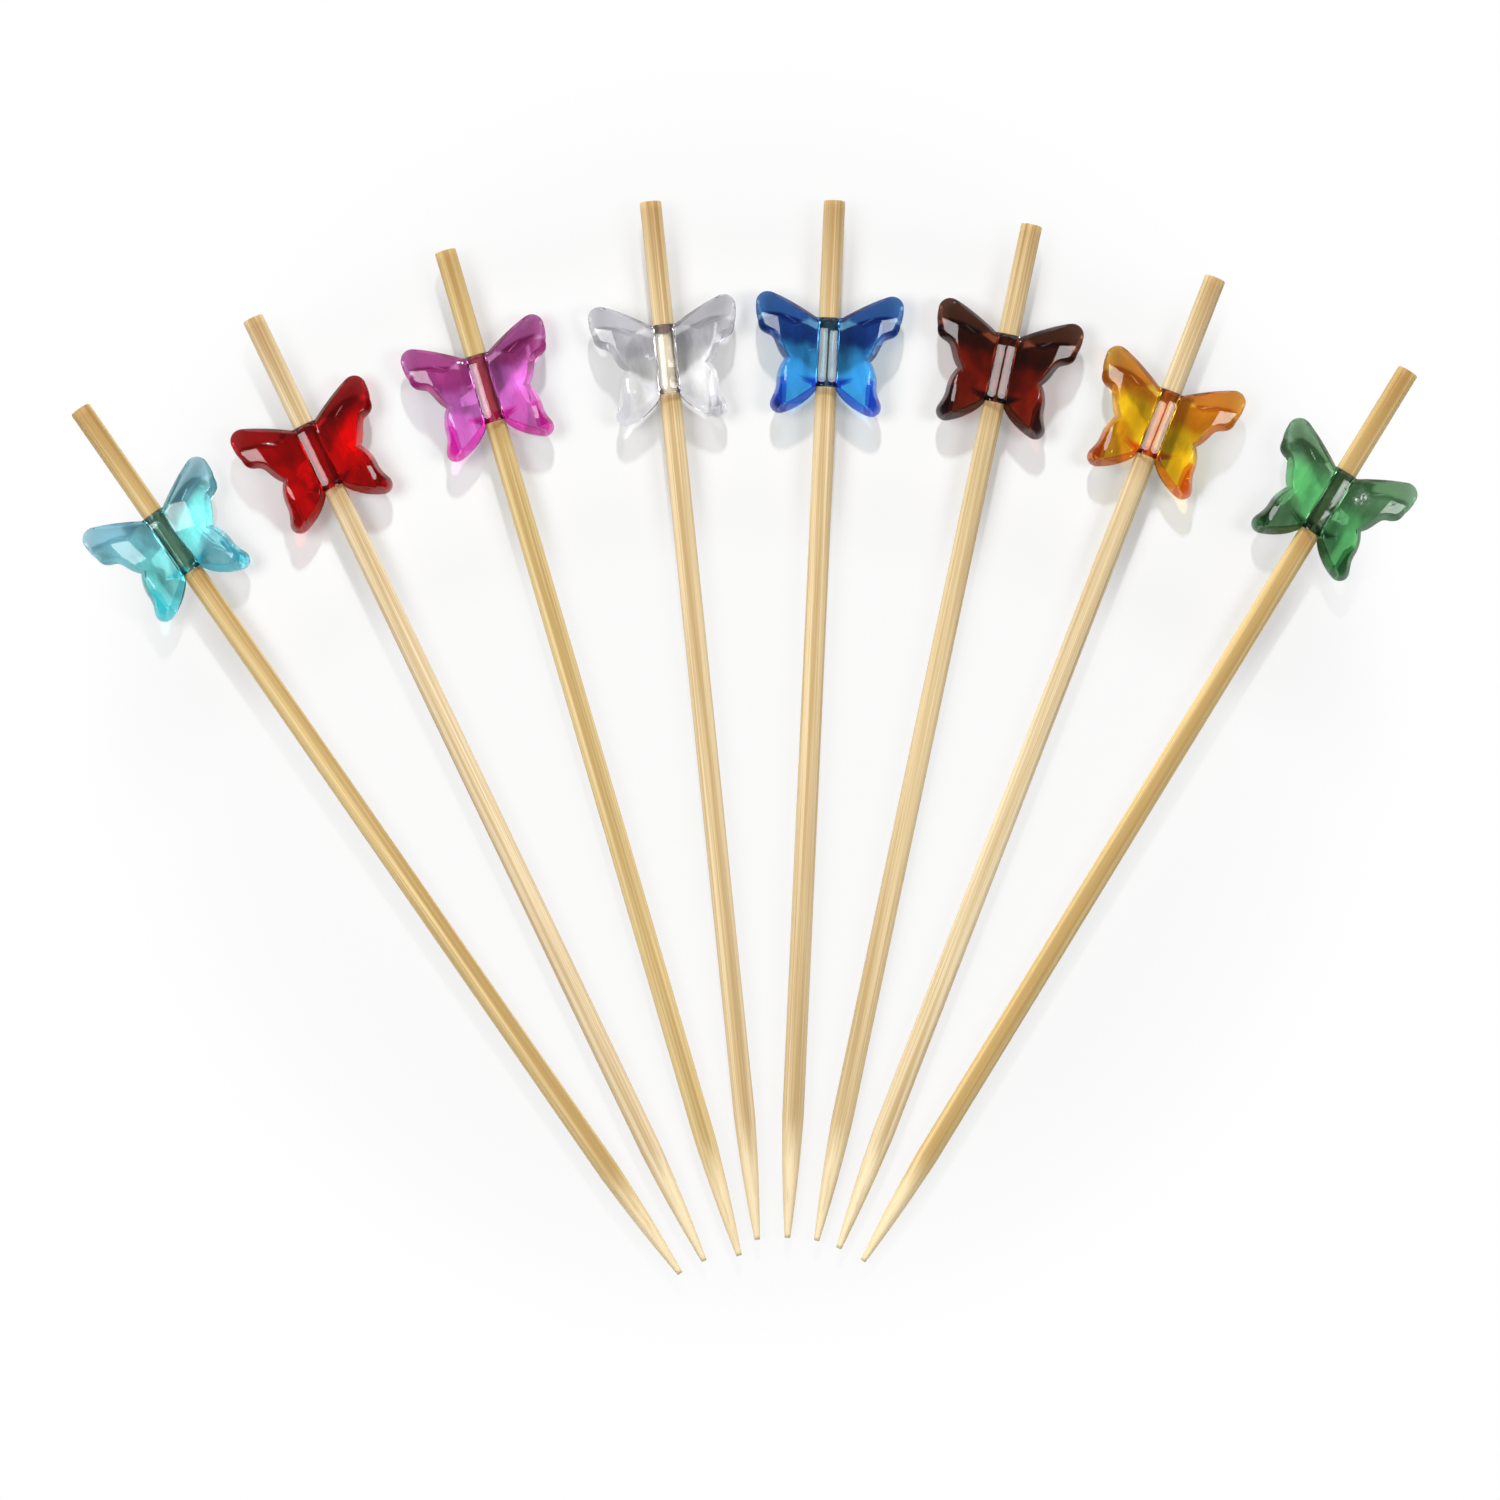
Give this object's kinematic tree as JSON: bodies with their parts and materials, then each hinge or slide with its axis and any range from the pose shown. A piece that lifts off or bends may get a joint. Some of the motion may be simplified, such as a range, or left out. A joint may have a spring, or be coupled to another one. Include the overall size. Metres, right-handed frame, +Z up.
{
  "type": "beaded bamboo skewer set",
  "caption": "Fan of round bamboo party picks lying flat, each with one pointed end and a clear faceted butterfly bead fixed near its blunt end.",
  "frame": {"origin": "on the table under the centre of the fan's bounding box", "axes": "+X across the fan to the right, +Y along the middle picks towards their blunt, beaded ends, +Z up from the table"},
  "size_m": [0.1538, 0.123, 0.0043],
  "materials": {
    "turquoise_bamboo": "satin, straight grain",
    "turquoise_acrylic": "polished, clear",
    "red_bamboo": "satin, straight grain",
    "red_acrylic": "polished, clear",
    "purple_bamboo": "satin, straight grain",
    "purple_acrylic": "polished, clear",
    "clear_bamboo": "satin, straight grain",
    "clear_acrylic": "polished, clear",
    "blue_bamboo": "satin, straight grain",
    "blue_acrylic": "polished, clear",
    "brown_bamboo": "satin, straight grain",
    "brown_acrylic": "polished, clear",
    "amber_bamboo": "satin, straight grain",
    "amber_acrylic": "polished, clear",
    "green_bamboo": "satin, straight grain",
    "green_acrylic": "polished, clear"
  },
  "bodies": {
    "turquoise_pick": {"turquoise_stick": "turquoise_bamboo", "turquoise_bead": "turquoise_acrylic"},
    "red_pick": {"red_stick": "red_bamboo", "red_bead": "red_acrylic"},
    "purple_pick": {"purple_stick": "purple_bamboo", "purple_bead": "purple_acrylic"},
    "clear_pick": {"clear_stick": "clear_bamboo", "clear_bead": "clear_acrylic"},
    "blue_pick": {"blue_stick": "blue_bamboo", "blue_bead": "blue_acrylic"},
    "brown_pick": {"brown_stick": "brown_bamboo", "brown_bead": "brown_acrylic"},
    "amber_pick": {"amber_stick": "amber_bamboo", "amber_bead": "amber_acrylic"},
    "green_pick": {"green_stick": "green_bamboo", "green_bead": "green_acrylic"}
  },
  "joints": [
    {"name": "lift_turquoise", "type": "slide", "parent": "blue_pick", "child": "turquoise_pick", "axis": [0, 0, 1], "range_m": [0, 0.06]},
    {"name": "lift_red", "type": "slide", "parent": "blue_pick", "child": "red_pick", "axis": [0, 0, 1], "range_m": [0, 0.06]},
    {"name": "lift_purple", "type": "slide", "parent": "blue_pick", "child": "purple_pick", "axis": [0, 0, 1], "range_m": [0, 0.06]},
    {"name": "lift_clear", "type": "slide", "parent": "blue_pick", "child": "clear_pick", "axis": [0, 0, 1], "range_m": [0, 0.06]},
    {"name": "lift_brown", "type": "slide", "parent": "blue_pick", "child": "brown_pick", "axis": [0, 0, 1], "range_m": [0, 0.06]},
    {"name": "lift_amber", "type": "slide", "parent": "blue_pick", "child": "amber_pick", "axis": [0, 0, 1], "range_m": [0, 0.06]},
    {"name": "lift_green", "type": "slide", "parent": "blue_pick", "child": "green_pick", "axis": [0, 0, 1], "range_m": [0, 0.06]}
  ]
}
